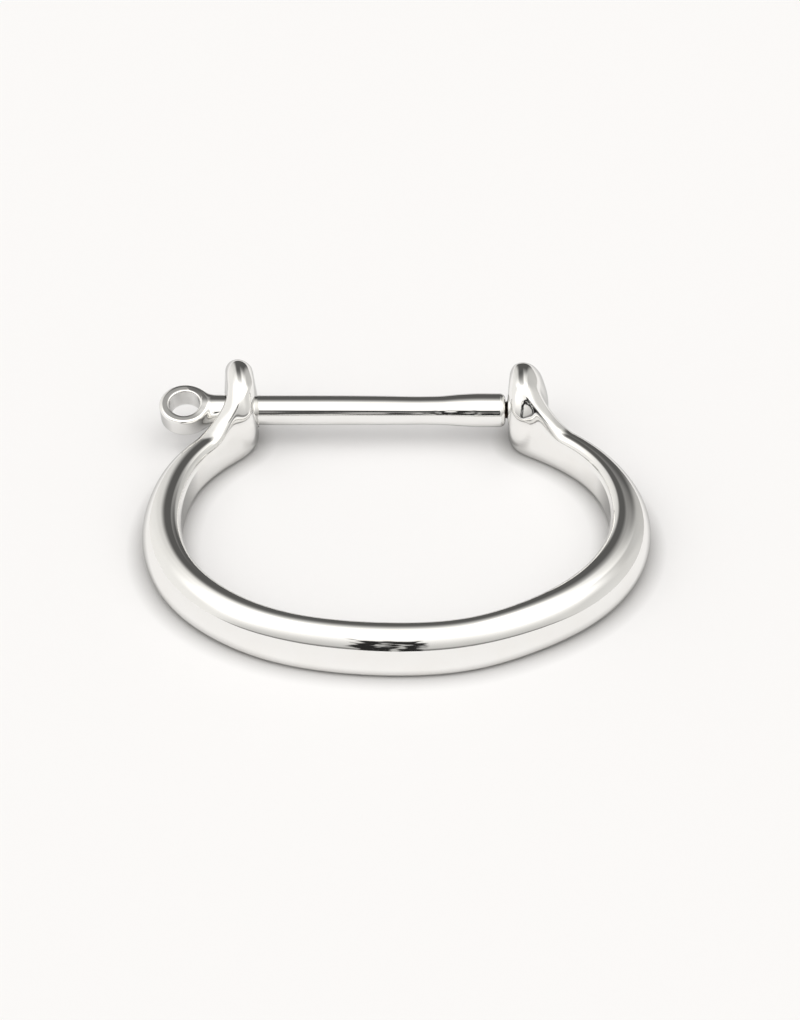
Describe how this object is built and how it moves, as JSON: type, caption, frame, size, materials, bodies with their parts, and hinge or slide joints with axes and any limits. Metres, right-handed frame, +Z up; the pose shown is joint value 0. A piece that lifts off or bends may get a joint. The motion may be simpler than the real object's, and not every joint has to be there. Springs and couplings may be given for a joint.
{
  "type": "bangle bracelet",
  "caption": "Horseshoe bangle with a flat inner face and upright disc ears, closed by a ring-headed screw pin that unscrews and draws out.",
  "frame": {"origin": "on the ground under the middle of the object's box", "axes": "+X along the screw pin towards its threaded tip, +Y from the front of the bow towards the pin, +Z up from the ground the bangle lies on"},
  "size_m": [0.0706, 0.0584, 0.0126],
  "materials": {
    "silver_bow": "polished",
    "silver_pin": "polished",
    "stud_steel": "satin"
  },
  "bodies": {
    "bow": {"bangle_band": "silver_bow"},
    "stud": {"threaded_stud": "stud_steel"},
    "pin": {"screw_pin": "silver_pin"}
  },
  "joints": [
    {"name": "pin_draw", "type": "slide", "parent": "bow", "child": "stud", "axis": [-1, 0, 0], "range_m": [0, 0.046]},
    {"name": "pin_turn", "type": "hinge", "parent": "stud", "child": "pin", "pos_m": [-0.0305, 0.0227, 0.0052], "axis": [-1, 0, 0], "continuous": true}
  ]
}
